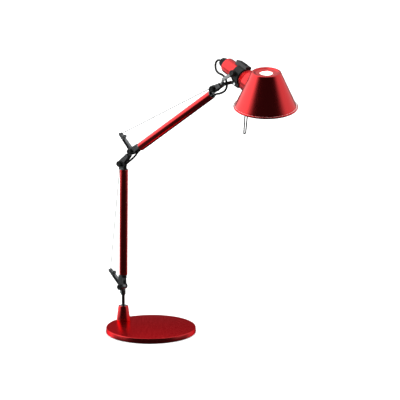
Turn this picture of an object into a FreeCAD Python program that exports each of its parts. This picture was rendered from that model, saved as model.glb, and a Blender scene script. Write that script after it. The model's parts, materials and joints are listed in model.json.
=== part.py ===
"""Balanced-arm desk lamp: turned base, swivelling stem, two sprung arms, forked wrist and a turning shade.

Millimetres. +Z is up, +X runs from the stem towards the lamp head, and the arms move in the XZ plane.
The origin is the centre of the base's underside.
"""
import FreeCAD
import Part
import math
import os
import sys
import Sketcher
from FreeCAD import Placement, Rotation, Vector

# ---------------------------------------------------------------- driving sizes
SIZES = {
    # base
    "base_dia": 170.0, "base_height": 9.6, "base_wall": 2.0, "base_rim_round": 1.6,
    "pad_inset": 6.0, "pad_thick": 1.2, "cover_lift": 0.6, "weight_gap": 0.3,
    "hub_screw_dia": 5.0, "hub_screw_head": 10.0, "hub_screw_head_thick": 2.6, "hub_screw_grip": 8.0,
    "cover_screw_dia": 3.4, "cover_screw_head": 6.4, "cover_screw_head_thick": 1.8,
    "cover_screw_inset": 23.0, "cover_screw_bite": 1.2,
    "hub_inset": 14.8, "hub_foot_dia": 27.0, "hub_top_dia": 19.0, "hub_height": 29.0,
    "bush_wall": 2.0, "bush_floor": 11.0, "bush_lip": 0.8,
    # stem
    "rod_dia": 6.0, "pivot_height": 75.6, "pivot_back": 2.2,
    "collar_dia": 9.6, "collar_height": 9.0, "collar_drop": 15.0,
    # castings at each end of an arm
    "eye_dia": 13.0, "tongue_thick": 6.0, "cheek_gap": 0.3, "cheek_thick": 2.7,
    "foot_reach": 24.5, "foot_offset": 2.7, "head_reach": 11.2, "head_offset": 5.7,
    "plug_depth": 12.0, "flange_thick": 1.5, "neck_width": 9.0,
    "pin_dia": 4.0, "pin_play": 0.05, "cap_dia": 11.0, "cap_thick": 4.2, "cap_round": 1.6,
    "cap_socket": 1.2, "cap_stand": 0.2,
    # tension levers
    "lever_length": 41.0, "lever_root": 8.0, "lever_tip": 5.6, "lever_thick": 6.0,
    "lever_pocket": 1.7, "lever_rib": 1.3, "ear_along": 31.5, "ear_side": 5.6, "ear_dia": 6.0,
    "ear_hole": 2.8, "ear_thick": 3.0, "wire_pin_dia": 2.0, "wire_pin_head": 3.6, "tip_slot": 2.0,
    # arms
    "tube_dia": 15.7, "tube_wall": 1.2, "tube_length": 203.0,
    "lower_lean": 88.93, "link_length": 37.5, "link_width": 7.0, "link_angle": 44.3, "upper_angle": 33.45,
    # springs and tension wires
    "spring_dia": 6.4, "spring_wire": 0.9, "spring_turns": 24.0, "spring_start": 50.0,
    "spring_length": 130.0, "spring_side": 1.7, "anchor_dia": 2.6, "anchor_plate": 1.5,
    "tension_wire": 0.9, "guide_dia": 7.0, "guide_flange": 10.4, "guide_thick": 1.6, "guide_play": 0.15,
    "ferrule_dia": 3.2, "ferrule_length": 10.0,
    # supply cable
    "cable_dia": 3.8, "cable_side": 4.3, "inlet_dia": 7.0, "inlet_lip": 9.0, "inlet_length": 6.0,
    # wrist fork
    "fork_length": 65.2, "fork_angle": 26.7, "fork_roll": 13.0, "shank_dia": 9.0, "crotch": 22.0,
    "prong_wide": 5.5, "prong_thick": 2.6, "prong_gap": 16.6, "prong_round": 26.0,
    # clamp ring and head
    "head_pitch": 49.2, "head_turn": 21.5, "holder_dia": 28.0, "holder_wall": 1.4,
    "holder_rear": 39.5, "holder_front": 12.4, "holder_round": 4.5, "ring_play": 0.08,
    "ring_wall": 2.0, "ring_rear": 6.0, "ring_front": 11.0, "tilt_screw_dia": 4.0,
    "tilt_cap_dia": 11.5, "tilt_cap_thick": 4.0, "clamp_lug": 6.0, "clamp_slit": 1.6,
    "block_rear": 16.0, "block_front": 12.0, "block_wide": 13.0, "block_top": 20.6, "block_gap": 0.35,
    "button_long": 11.0, "button_wide": 6.5, "button_proud": 1.2, "button_travel": 1.0, "button_play": 0.2,
    "gland_dia": 20.5, "gland_end_dia": 15.0, "gland_length": 12.5, "gland_nose_dia": 9.0, "gland_nose": 5.0,
    "neck_end_dia": 40.6, "neck_wall": 1.6, "fin_pitch": 2.4, "fin_gap": 1.1, "fin_deep": 1.3,
    "shade_reach": 72.5, "shade_lean": 10.5, "shade_drop": 23.5,
    "shade_rim_dia": 112.0, "shade_top_dia": 50.0, "shade_height": 63.5, "shade_wall": 1.2,
    "shade_hole_dia": 22.0, "shade_dish": 1.8, "rim_bead": 3.4,
    "socket_gap": 0.6, "socket_rear": 20.0, "socket_front": 41.0, "socket_bore": 14.4, "socket_floor": 34.0,
    "bulb_dia": 44.0, "bulb_base_dia": 13.6, "bulb_neck_dia": 31.0, "bulb_centre": 72.0,
    "handle_wire_dia": 2.2, "handle_side": 14.0, "handle_spread": 3.6, "handle_top_out": 42.3,
    "handle_top_down": 10.0, "handle_tip_out": 49.0, "handle_tip_down": 90.6, "handle_tip_spread": 2.2,
    "flange_start": 39.6, "flange_wide": 36.0,
}


class Size:
    """A length that is both a number and the sheet formula that gives it."""

    def __init__(self, value, formula):
        self.value = float(value)
        self.formula = formula

    def __float__(self):
        return self.value

    def __add__(self, other):
        other = as_size(other)
        return Size(self.value + other.value, f"({self.formula} + {other.formula})")

    def __sub__(self, other):
        other = as_size(other)
        return Size(self.value - other.value, f"({self.formula} - {other.formula})")

    def __mul__(self, other):
        other = as_size(other)
        return Size(self.value * other.value, f"({self.formula} * {other.formula})")

    def __truediv__(self, other):
        other = as_size(other)
        return Size(self.value / other.value, f"({self.formula} / {other.formula})")

    def __neg__(self):
        return Size(-self.value, f"(0 - {self.formula})")

    def __radd__(self, other):
        return as_size(other) + self

    def __rsub__(self, other):
        return as_size(other) - self

    def __rmul__(self, other):
        return as_size(other) * self


def as_size(number):
    """Wraps a plain number so that it joins a formula."""
    if isinstance(number, Size):
        return number
    return Size(number, f"({float(number)})")


doc = FreeCAD.newDocument("desk_lamp")
sheet = doc.addObject("Spreadsheet::Sheet", "Sizes")


class Sheet:
    """Reads the driving sizes back from the sheet by name."""

    def __init__(self, table):
        for row, (name, value) in enumerate(table.items(), start=1):
            sheet.set(f"A{row}", name)
            sheet.set(f"B{row}", str(value))
            sheet.setAlias(f"B{row}", name)
        doc.recompute()
        for name in table:
            setattr(self, name, Size(sheet.get(name), f"Sizes.{name}"))


S = Sheet(SIZES)
STEM_BACK = S.base_dia / 2 - S.hub_inset                   # the hub stands this far behind the base's centre
COVER_SCREW_OUT = S.base_dia / 2 - S.cover_screw_inset
SOCKET_DIA = S.holder_dia - 2 * S.holder_wall - 2 * S.socket_gap

# ---------------------------------------------------------------- directions and small helpers
ALONG_X = Rotation(Vector(0, 1, 0), 90)
ALONG_Y = Rotation(Vector(1, 0, 0), -90)
ALONG_Z = Rotation()
BAR_ALONG_X = Rotation(Vector(0, 0, 1), Vector(1, 0, 0), Vector(0, 1, 0), "XYZ")
OVER = 1.0          # how far a cutting tool runs past the face it cuts
nodes = {}


def bind(obj, **sizes):
    """Sets each property, and ties it to the sheet where it is a Size."""
    for prop, size in sizes.items():
        setattr(obj, prop, float(size))
        if isinstance(size, Size):
            obj.setExpression(prop, size.formula)
    return obj


def at(x=0, y=0, z=0, turn=ALONG_Z):
    return Placement(Vector(float(x), float(y), float(z)), turn)


def cylinder(dia, length, place=None):
    rod = bind(doc.addObject("Part::Cylinder", "cylinder"), Radius=dia / 2, Height=length)
    rod.Placement = place or at()
    return rod


def across(dia, width, x=0, z=0, y=0):
    """A cylinder along y, centred on the given point."""
    return cylinder(dia, width, at(x, float(y) - float(width) / 2, z, ALONG_Y))


def box(length, width, height, x=0, y=0, z=0):
    """A box that starts at x, is centred on y and is centred on z."""
    block = bind(doc.addObject("Part::Box", "box"), Length=length, Width=width, Height=height)
    block.Placement = at(x, float(y) - float(width) / 2, float(z) - float(height) / 2)
    return block


def bar(start_width, end_width, length, thick, place=None):
    """A tapering flat bar along x, centred on y and z."""
    wedge = doc.addObject("Part::Wedge", "bar")
    bind(wedge, Ymin=0, Ymax=length, Xmin=-start_width / 2, Xmax=start_width / 2,
         X2min=-end_width / 2, X2max=end_width / 2, Zmin=-thick / 2, Zmax=thick / 2,
         Z2min=-thick / 2, Z2max=thick / 2)
    wedge.Placement = (place or at()).multiply(at(turn=BAR_ALONG_X))
    return wedge


def fuse(*pieces):
    joined = doc.addObject("Part::MultiFuse", "fuse")
    joined.Shapes = list(pieces)
    joined.Refine = True
    return joined


def cut(solid, *tools):
    """Takes each tool from the solid."""
    for tool in tools:
        step = doc.addObject("Part::Cut", "cut")
        step.Base = solid
        step.Tool = tool
        solid = step
    return solid


def common(solid, tool):
    both = doc.addObject("Part::Common", "common")
    both.Base = solid
    both.Tool = tool
    return both


def group(*solids):
    """Separate identical solids that share one node."""
    together = doc.addObject("Part::Compound", "group")
    together.Links = list(solids)
    return together


def feature(shape):
    """A shape worked out directly, for what no feature makes."""
    made = doc.addObject("Part::Feature", "shape")
    made.Shape = shape
    return made


def node(name, solid, frame=None):
    """Names a finished sub-part and puts it in place."""
    solid.Label = name
    solid.Placement = (frame or at()).multiply(solid.Placement)
    nodes[name] = solid
    return solid


def turned(name, outline, rounds=()):
    """A body turned about z from a closed outline of (radius, height) points.

    rounds lists (radius of the edge, height of the edge, size of the fillet).
    """
    body = doc.addObject("PartDesign::Body", name + "_body")
    sketch = body.newObject("Sketcher::SketchObject", name + "_outline")
    plane = [p for p in body.Origin.OriginFeatures if p.Role == "XZ_Plane"][0]
    sketch.AttachmentSupport = (plane, [""])
    sketch.MapMode = "FlatFace"
    corners = [(as_size(x), as_size(y)) for x, y in outline]
    for i, (x, y) in enumerate(corners):
        next_x, next_y = corners[(i + 1) % len(corners)]
        line = Part.LineSegment(Vector(x.value, y.value, 0), Vector(next_x.value, next_y.value, 0))
        sketch.addGeometry(line, False)
    for i in range(len(corners)):
        sketch.addConstraint(Sketcher.Constraint("Coincident", i, 2, (i + 1) % len(corners), 1))
    for i, corner in enumerate(corners):
        for kind, size in zip(("DistanceX", "DistanceY"), corner):
            number = sketch.addConstraint(Sketcher.Constraint(kind, -1, 1, i, 1, size.value))
            sketch.setExpression(f"Constraints[{number}]", size.formula)
    turn = body.newObject("PartDesign::Revolution", name + "_turn")
    turn.Profile = sketch
    turn.ReferenceAxis = (sketch, ["V_Axis"])
    turn.Angle = 360
    body.Tip = turn
    if rounds:
        doc.recompute()
        for radius, height, size in rounds:
            edges = ring_edges(turn.Shape, float(radius), float(height))
            fillet = body.newObject("PartDesign::Fillet", name + "_round")
            fillet.Base = (turn, edges)
            bind(fillet, Radius=size)
            body.Tip = fillet
            turn = fillet
            doc.recompute()
    return body


def ring_edges(shape, radius, height):
    """The names of the full circles of this radius at this height."""
    found = []
    for number, edge in enumerate(shape.Edges, start=1):
        curve = edge.Curve
        if isinstance(curve, Part.Circle) and abs(curve.Radius - radius) < 1e-4:
            if abs(curve.Center.z - height) < 1e-4:
                found.append(f"Edge{number}")
    return found


def tube_path(points):
    """One wire of straight runs joined by tangent arcs, and its arc radii."""
    points = [Vector(*p) for p in points]
    edges, radii, start = [], [], points[0]
    for i in range(1, len(points) - 1):
        before, corner, after = points[i - 1], points[i], points[i + 1]
        back, ahead = before - corner, after - corner
        short = min(back.Length, ahead.Length)
        back.normalize()
        ahead.normalize()
        half_turn = (math.pi - back.getAngle(ahead)) / 2
        step = 0.45 * short
        radius = step / math.tan(half_turn)
        middle = (back + ahead).normalize()
        depth = radius / math.cos(half_turn) - radius
        arc_start, arc_end = corner + back * step, corner + ahead * step
        edges.append(Part.LineSegment(start, arc_start).toShape())
        edges.append(Part.Arc(arc_start, corner + middle * depth, arc_end).toShape())
        radii.append(radius)
        start = arc_end
    edges.append(Part.LineSegment(start, points[-1]).toShape())
    return Part.Wire(edges), radii


def swept(path, dia):
    """A round bar of this diameter along a wire path."""
    first = path.Edges[0]
    start, heading = first.valueAt(first.FirstParameter), first.tangentAt(first.FirstParameter)
    section = Part.Wire(Part.makeCircle(float(dia) / 2, start, heading))
    return path.makePipeShell([section], True, False)


def cable(names, points, dia, split):
    """A cable along a hand-set route, in two nodes that meet in the middle of one straight run."""
    path, radii = tube_path(points)
    run = path.Edges[2 * split]
    middle = (run.Vertexes[0].Point + run.Vertexes[-1].Point) / 2
    before = Part.LineSegment(run.Vertexes[0].Point, middle).toShape()
    after = Part.LineSegment(middle, run.Vertexes[-1].Point).toShape()
    halves = [Part.Wire(path.Edges[:2 * split] + [before]), Part.Wire([after] + path.Edges[2 * split + 1:])]
    for name, half in zip(names, halves):
        solid = swept(half, dia)
        ideal = math.pi * float(dia) ** 2 / 4 * half.Length
        print(f"{name}: length {half.Length:.1f}, volume share {solid.Volume / ideal:.4f}")
        node(name, feature(solid))
    print("bend radii", ", ".join(f"{r:.1f}" for r in radii))


# ---------------------------------------------------------------- frames of the moving bodies
def arm_frame(origin, degrees):
    """x runs along the arm at this angle above the horizontal, and y stays level."""
    return Placement(origin, Rotation(Vector(0, -1, 0), float(degrees)))


PIVOT_X = S.foot_reach + S.tube_length + S.head_reach      # pivot to pivot, along an arm
PIVOT_Z = S.head_offset - S.foot_offset                    # and across it
STEM = at(x=-STEM_BACK)
LOWER = arm_frame(Vector(-float(STEM_BACK + S.pivot_back), 0, float(S.pivot_height)), S.lower_lean)
ELBOW = arm_frame(LOWER.multVec(Vector(float(PIVOT_X), 0, float(PIVOT_Z))), S.link_angle)
UPPER = arm_frame(ELBOW.multVec(Vector(float(S.link_length), 0, 0)), S.upper_angle)
WRIST = arm_frame(UPPER.multVec(Vector(float(PIVOT_X), 0, float(PIVOT_Z))), S.fork_angle)
PRONGS = WRIST.multiply(Placement(Vector(), Rotation(Vector(1, 0, 0), -float(S.fork_roll))))
RING = PRONGS.multiply(Placement(Vector(float(S.fork_length), 0, 0),
                                 Rotation(Vector(0, 1, 0), float(S.head_pitch))))
HEAD = RING.multiply(Placement(Vector(), Rotation(Vector(1, 0, 0), float(S.head_turn))))
LEVER_TURN = Rotation(Vector(0, -1, 0), 90)
STEM_LEVER = arm_frame(LOWER.Base, 137.5)
SHADE = HEAD.multiply(Placement(
    Vector(float(S.shade_reach) + math.sin(math.radians(float(S.shade_lean))) * float(S.shade_drop), 0,
           -math.cos(math.radians(float(S.shade_lean))) * float(S.shade_drop)),
    Rotation(Vector(0, 1, 0), -float(S.shade_lean))))

CHEEK_INNER = S.tongue_thick / 2 + S.cheek_gap             # half the gap between a fork's cheeks
CHEEK_OUTER = CHEEK_INNER + S.cheek_thick
TUBE_BORE = S.tube_dia - 2 * S.tube_wall
CABLE_Z = -S.foot_offset - S.cable_side                    # the cable's line inside an arm
SPRING_Z = S.spring_side - S.foot_offset
TUBE_END = S.foot_reach + S.tube_length


# ---------------------------------------------------------------- base
def cover_screw_places():
    for turn in (30, 150, 270):
        angle = math.radians(turn)
        yield float(COVER_SCREW_OUT) * math.cos(angle), float(COVER_SCREW_OUT) * math.sin(angle)


def make_base():
    top = S.base_height
    under = top - S.base_wall
    outer = S.base_dia / 2
    inner = outer - S.base_wall
    node("base_pad", cylinder(S.base_dia - 2 * S.pad_inset, S.pad_thick))
    disc = cylinder(S.base_dia - 2 * S.base_wall - 2 * S.weight_gap, under - S.pad_thick, at(z=S.pad_thick))
    head_hole = cylinder(S.hub_screw_head + 0.4, S.hub_screw_head_thick + OVER,
                         at(-STEM_BACK, 0, S.pad_thick - OVER))
    shank_hole = cylinder(S.hub_screw_dia + 0.4, S.base_height, at(-STEM_BACK, 0, 0))
    holes = [head_hole, shank_hole]
    for x, y in cover_screw_places():
        holes.append(cylinder(S.cover_screw_head + 0.4, S.cover_screw_head_thick + OVER,
                              at(x, y, S.pad_thick - OVER)))
        holes.append(cylinder(S.cover_screw_dia + 0.4, S.base_height, at(x, y, 0)))
    node("base_weight", cut(disc, *holes))
    shell = turned("cover", [(0, under), (inner, under), (inner, S.cover_lift), (outer, S.cover_lift),
                             (outer, top), (0, top)], [(outer, top, S.base_rim_round)])
    hub_hole = cylinder(S.hub_screw_dia + 0.4, S.base_wall + 2 * OVER, at(-STEM_BACK, 0, under - OVER))
    bites = [cylinder(S.cover_screw_dia, S.cover_screw_bite + OVER, at(x, y, under - OVER))
             for x, y in cover_screw_places()]
    node("base_cover", cut(shell, hub_hole, *bites))
    screws = [screw(S.hub_screw_dia, S.hub_screw_head, S.hub_screw_head_thick,
                    S.base_height + S.hub_screw_grip - S.pad_thick, at(-STEM_BACK, 0, S.pad_thick))]
    for x, y in cover_screw_places():
        screws.append(screw(S.cover_screw_dia, S.cover_screw_head, S.cover_screw_head_thick,
                            under + S.cover_screw_bite - S.pad_thick, at(x, y, S.pad_thick)))
    node("base_screws", group(*screws))


def screw(dia, head, head_thick, length, place):
    """A screw whose head starts at its place and whose shank runs on to the length."""
    body = fuse(cylinder(head, head_thick), cylinder(dia, length))
    body.Placement = place
    return body


def make_hub():
    foot = S.base_height
    top = foot + S.hub_height
    bush_outer = S.rod_dia + 2 * S.pin_play + 2 * S.bush_wall
    cone = turned("hub", [(0, foot), (S.hub_foot_dia / 2, foot), (S.hub_top_dia / 2, top), (0, top)],
                  [(S.hub_top_dia / 2, top, 1.2)])
    cone.Placement = at(x=-STEM_BACK)
    bush_hole = cylinder(bush_outer, S.hub_height, at(-STEM_BACK, 0, foot + S.bush_floor))
    screw_hole = cylinder(S.hub_screw_dia, S.hub_screw_grip + 0.5 + OVER, at(-STEM_BACK, 0, foot - OVER))
    node("base_hub", cut(cone, bush_hole, screw_hole))
    bore = S.rod_dia / 2 + S.pin_play
    bush = turned("bush", [(bore, foot + S.bush_floor), (bush_outer / 2, foot + S.bush_floor),
                           (bush_outer / 2, top), (bush_outer / 2 + 1.5, top),
                           (bush_outer / 2 + 1.5, top + S.bush_lip), (bore, top + S.bush_lip)])
    node("hub_bush", bush, STEM)


# ---------------------------------------------------------------- stem and levers
def lever(frame_turn):
    """A channelled lever with a slotted tip and a ringed ear, along x from its pivot."""
    beam = bar(S.lever_root, S.lever_tip, S.lever_length, S.lever_thick)
    tip = across(S.lever_tip, S.lever_thick, x=S.lever_length)
    ear = across(S.ear_dia, S.ear_thick, x=S.ear_along, z=-S.ear_side)
    ear_root = box(S.ear_dia * 0.7, S.ear_thick, S.ear_side, x=S.ear_along - S.ear_dia * 0.35, z=-S.ear_side / 2)
    pocket_long = S.ear_along - S.eye_dia / 2 - 4
    pockets = []
    for side in (-1, 1):
        pocket = bar(S.lever_root - 2 * S.lever_rib - 0.6, S.lever_tip - 2 * S.lever_rib, pocket_long,
                     S.lever_pocket * 2, at(x=S.eye_dia / 2 + 1.5, y=side * float(S.lever_thick) / 2))
        pockets.append(pocket)
    slot = box(S.lever_tip + 3, S.tip_slot, S.lever_tip + 2, x=S.lever_length - S.lever_tip / 2 - 1.5)
    pin_hole = across(S.wire_pin_dia, S.lever_thick + 2, x=S.lever_length)
    ear_hole = across(S.ear_hole, S.ear_thick + 2, x=S.ear_along, z=-S.ear_side)
    solid = cut(fuse(beam, tip, ear, ear_root), *pockets, slot, pin_hole, ear_hole)
    solid.Placement = Placement(Vector(), frame_turn)
    return solid


def wire_pin(name, frame):
    """The small headed pin that holds the tension wire in a lever's tip."""
    half = S.lever_thick / 2
    shank = across(S.wire_pin_dia, S.lever_thick + 1.6, x=S.lever_length)
    heads = [cylinder(S.wire_pin_head, 0.8, at(S.lever_length, y, 0, ALONG_Y))
             for y in (float(half), -float(half) - 0.8)]
    node(name, fuse(shank, *heads), frame)


def make_stem():
    node("stem_rod", cylinder(S.rod_dia, S.pivot_height - S.collar_drop + 4 - S.base_height - S.bush_floor,
                              at(z=S.base_height + S.bush_floor)), STEM)
    pivot = at(-S.pivot_back, 0, S.pivot_height)
    collar = cylinder(S.collar_dia, S.collar_height, at(z=S.pivot_height - S.collar_drop))
    web = box(S.collar_dia - 1, S.tongue_thick, S.collar_drop - 2, x=-(S.collar_dia - 1) / 2 - S.pivot_back / 2,
              z=S.pivot_height - (S.collar_drop - 2) / 2)
    eye = across(S.eye_dia, S.tongue_thick, x=-S.pivot_back, z=S.pivot_height)
    arm = lever(Rotation(Vector(0, -1, 0), 137.5))
    arm.Placement = pivot.multiply(arm.Placement)
    pin_hole = across(S.pin_dia + 2 * S.pin_play, S.tongue_thick + 2, x=-S.pivot_back, z=S.pivot_height)
    rod_hole = cylinder(S.rod_dia, 4, at(z=S.pivot_height - S.collar_drop))
    node("stem_head", cut(fuse(collar, web, eye, arm), pin_hole, rod_hole), STEM)
    wire_pin("lower_wire_pin", STEM_LEVER)


# ---------------------------------------------------------------- arms
def arm_foot():
    """The fork at an arm's foot: two cheeks on the pivot, a bridge and a plug in the tube."""
    cheeks = []
    for side in (-1, 1):
        y = side * float(CHEEK_INNER + CHEEK_OUTER) / 2
        cheeks.append(across(S.eye_dia - 1, S.cheek_thick, y=y))
        cheeks.append(bar(S.eye_dia - 1, S.neck_width, S.foot_reach - S.flange_thick, S.cheek_thick, at(y=y)))
    bridge = box(S.foot_reach - S.flange_thick - 13, CHEEK_OUTER * 2, S.neck_width, x=13)
    flange = cylinder(S.tube_dia - 0.6, S.flange_thick,
                      at(S.foot_reach - S.flange_thick, 0, -S.foot_offset, ALONG_X))
    plug = cylinder(TUBE_BORE, S.plug_depth, at(S.foot_reach, 0, -S.foot_offset, ALONG_X))
    pin_hole = across(S.pin_dia, CHEEK_OUTER * 2 + 2)
    cable_hole = cylinder(S.cable_dia + 1, S.plug_depth + 4, at(S.foot_reach - 2, 0, CABLE_Z, ALONG_X))
    stud_hole = cylinder(S.anchor_dia, 5, at(S.foot_reach + S.plug_depth - 4, 0, SPRING_Z, ALONG_X))
    return cut(fuse(*cheeks, bridge, flange, plug), pin_hole, cable_hole, stud_hole)


def arm_head():
    """The slotted tongue at an arm's head: a plug in the tube, a neck and the eye of the next pivot."""
    plug = cylinder(TUBE_BORE, S.plug_depth, at(TUBE_END - S.plug_depth, 0, -S.foot_offset, ALONG_X))
    flange = cylinder(S.tube_dia - 0.6, S.flange_thick, at(TUBE_END, 0, -S.foot_offset, ALONG_X))
    eye = across(S.eye_dia, S.tongue_thick, x=PIVOT_X, z=PIVOT_Z)
    neck = box(S.head_reach, S.tongue_thick, S.eye_dia - 1.5, x=TUBE_END, z=PIVOT_Z - 0.8)
    slot_wide = S.guide_thick + 2 * S.guide_play
    slot = box(S.plug_depth + S.head_reach * 2 + 8, slot_wide, S.guide_flange + 8,
               x=TUBE_END - S.plug_depth - OVER, z=PIVOT_Z + 1)
    pin_hole = across(S.pin_dia, S.tongue_thick + 2, x=PIVOT_X, z=PIVOT_Z)
    cable_hole = cylinder(S.cable_dia + 1, S.plug_depth + 6, at(TUBE_END - S.plug_depth - 2, 0, CABLE_Z, ALONG_X))
    keep = box(S.plug_depth + S.head_reach * 3, S.tube_dia, S.tube_dia * 3, x=TUBE_END - S.plug_depth)
    return common(cut(fuse(plug, flange, eye, neck), slot, pin_hole, cable_hole), keep)


def guide_wheel():
    """The grooved guide, on the head's pin, that leads the tension wire into the tube."""
    rim = across(S.guide_flange, S.guide_thick, x=PIVOT_X, z=PIVOT_Z)
    groove = cut(across(S.guide_flange + 2, S.tension_wire + 0.2, x=PIVOT_X, z=PIVOT_Z),
                 across(S.guide_dia, S.tension_wire + 1, x=PIVOT_X, z=PIVOT_Z))
    pin_hole = across(S.pin_dia, S.guide_thick + 2, x=PIVOT_X, z=PIVOT_Z)
    return cut(rim, groove, pin_hole)


def spring():
    """The tension spring in a tube, with the stud that anchors it."""
    coil_radius = float(S.spring_dia - S.spring_wire) / 2
    pitch = float(S.spring_length / S.spring_turns)
    helix = Part.makeHelix(pitch, float(S.spring_length), coil_radius)
    start = Vector(coil_radius, 0, 0)
    section = Part.Wire(Part.makeCircle(float(S.spring_wire) / 2, start, Vector(0, 1, 0)))
    coil = Part.Wire(helix).makePipeShell([section], True, True)
    made = feature(coil)
    made.Placement = at(S.spring_start, 0, SPRING_Z, ALONG_X)
    return made


def tension_wire(name, tip, arm):
    """The wire from a lever's tip, over the guide and down the tube to the spring."""
    inverse = arm.inverse()
    start = inverse.multVec(tip)
    centre = Vector(float(PIVOT_X), 0, float(PIVOT_Z))
    radius = float(S.guide_dia + S.tension_wire) / 2 + 0.05
    gap = centre - start
    reach = math.sqrt(gap.x ** 2 + gap.z ** 2 - radius ** 2)
    lean = math.atan2(gap.z, gap.x) + math.atan2(radius, reach)
    heading = Vector(math.cos(lean), 0, math.sin(lean))
    touch = start + heading * reach
    top_angle = (lean + math.pi / 2) / 2
    crest = centre + Vector(math.cos(top_angle) * radius, 0, math.sin(top_angle) * radius)
    inside = Vector(centre.x, 0, centre.z - radius)
    end = Vector(float(S.spring_start + S.spring_length + S.spring_wire / 2), 0, inside.z)
    path = Part.Wire([Part.LineSegment(start + heading * (float(S.wire_pin_dia) / 2), touch).toShape(),
                      Part.Arc(touch, crest, inside).toShape(),
                      Part.LineSegment(inside, end).toShape()])
    wire = swept(path, S.tension_wire)
    ferrule = Part.makeCylinder(float(S.ferrule_dia) / 2, float(S.ferrule_length), end, Vector(1, 0, 0))
    plate = Part.makeCylinder(float(S.spring_dia) / 2, float(S.anchor_plate), end, Vector(1, 0, 0))
    print(f"{name}: length {path.Length:.1f}, exposed {reach:.1f}")
    return node(name, feature(wire.fuse([ferrule, plate])), arm)


def pivot_set(prefix, frame, x=0, z=0):
    """The pin of a pivot and its two black caps."""
    half = CHEEK_OUTER
    pin = across(S.pin_dia, half * 2 + 2 * S.cap_socket, x=x, z=z)
    node(prefix + "_pin", pin, frame)
    caps = []
    for side in (-1, 1):
        inner = half + S.cap_stand
        cap = turned(f"{prefix}_cap", [(0, 0), (S.cap_dia / 2, 0), (S.cap_dia / 2, S.cap_thick), (0, S.cap_thick)],
                     [(S.cap_dia / 2, S.cap_thick, S.cap_round)])
        cap.Placement = at(x, side * float(inner), z, Rotation(Vector(1, 0, 0), -90 * side))
        hole = across(S.pin_dia, half * 2 + 2 * S.cap_socket, x=x, z=z)
        caps.append(cut(cap, hole))
    node(prefix + "_caps", group(*caps), frame)


def make_arm(prefix, frame, lever_tip):
    node(prefix + "_foot", arm_foot(), frame)
    outer = cylinder(S.tube_dia, S.tube_length, at(S.foot_reach, 0, -S.foot_offset, ALONG_X))
    inner = cylinder(TUBE_BORE, S.tube_length + 2 * OVER, at(S.foot_reach - OVER, 0, -S.foot_offset, ALONG_X))
    node(prefix + "_tube", cut(outer, inner), frame)
    node(prefix + "_head", arm_head(), frame)
    node(prefix + "_guide", guide_wheel(), frame)
    node(prefix + "_spring", spring(), frame)
    first_coil = S.spring_start - S.spring_wire / 2
    root = S.foot_reach + S.plug_depth - 4
    stud = fuse(cylinder(S.anchor_dia, first_coil - root, at(root, 0, SPRING_Z, ALONG_X)),
                cylinder(S.spring_dia, S.anchor_plate, at(first_coil - S.anchor_plate, 0, SPRING_Z, ALONG_X)))
    node(prefix + "_anchor", stud, frame)
    tension_wire(prefix + "_tension_wire", lever_tip, frame)


def make_elbow():
    cheeks = []
    for side in (-1, 1):
        y = side * float(CHEEK_INNER + CHEEK_OUTER) / 2
        cheeks.append(across(S.eye_dia - 1, S.cheek_thick, y=y))
        cheeks.append(bar(S.eye_dia - 1, S.link_width, S.link_length - 12, S.cheek_thick, at(y=y)))
    bridge = box(S.link_length - 14 - 11, CHEEK_OUTER * 2, S.link_width, x=14)
    web = box(S.link_length - 16, S.tongue_thick, S.link_width, x=16)
    eye = across(S.eye_dia, S.tongue_thick, x=S.link_length)
    arm = lever(LEVER_TURN)
    arm.Placement = at(x=S.link_length).multiply(arm.Placement)
    pin_holes = [across(S.pin_dia + 2 * S.pin_play, CHEEK_OUTER * 2 + 2, x=x) for x in (0, S.link_length)]
    node("elbow_link", cut(fuse(*cheeks, bridge, web, eye, arm), *pin_holes), ELBOW)
    wire_pin("upper_wire_pin", ELBOW.multiply(Placement(Vector(float(S.link_length), 0, 0), LEVER_TURN)))


# ---------------------------------------------------------------- wrist
def make_fork():
    cheeks = []
    for side in (-1, 1):
        y = side * float(CHEEK_INNER + CHEEK_OUTER) / 2
        cheeks.append(across(S.eye_dia - 1, S.cheek_thick, y=y))
        cheeks.append(bar(S.eye_dia - 1, S.shank_dia - 1, 14, S.cheek_thick, at(y=y)))
    bridge = box(8, CHEEK_OUTER * 2, S.shank_dia - 1, x=10)
    shank = cylinder(S.shank_dia, S.crotch - 13, at(13, 0, 0, ALONG_X))
    roll = Rotation(Vector(1, 0, 0), -float(S.fork_roll))
    prongs = []
    far = float(S.prong_gap + S.prong_thick / 2)
    for side in (-1, 1):
        for start, end in prong_runs(far * side):
            prongs.append(prong_bar(start, end))
    arms = fuse(*prongs)
    holes = across(S.tilt_screw_dia + 2 * S.pin_play, float(S.prong_gap) * 4, x=S.fork_length)
    arms = cut(arms, holes)
    arms.Placement = Placement(Vector(), roll)
    pin_hole = across(S.pin_dia + 2 * S.pin_play, CHEEK_OUTER * 2 + 2)
    node("wrist_fork", cut(fuse(*cheeks, bridge, shank, arms), pin_hole), WRIST)


def prong_runs(far):
    """The straight runs of one prong, as pairs of (along, across), out to its eye."""
    crotch, length = float(S.crotch), float(S.fork_length)
    bend_in, bend_out = crotch + 6, length - float(S.prong_round)
    stops = [(crotch - 3, 0), (bend_in, far * 0.42), (bend_out, far * 0.93), (length - 8, far), (length, far)]
    return list(zip(stops[:-1], stops[1:]))


def prong_bar(start, end):
    """One run of a prong with rounded ends, standing upright across its bend."""
    heading = Vector(end[0] - start[0], end[1] - start[1], 0)
    run = box(heading.Length, S.prong_thick, S.prong_wide)
    run.Placement = Placement(Vector(start[0], start[1], 0),
                              Rotation(Vector(1, 0, 0), heading)).multiply(run.Placement)
    knee = cylinder(S.prong_thick, S.prong_wide, at(end[0], end[1], -S.prong_wide / 2))
    return fuse(run, knee)


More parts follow.
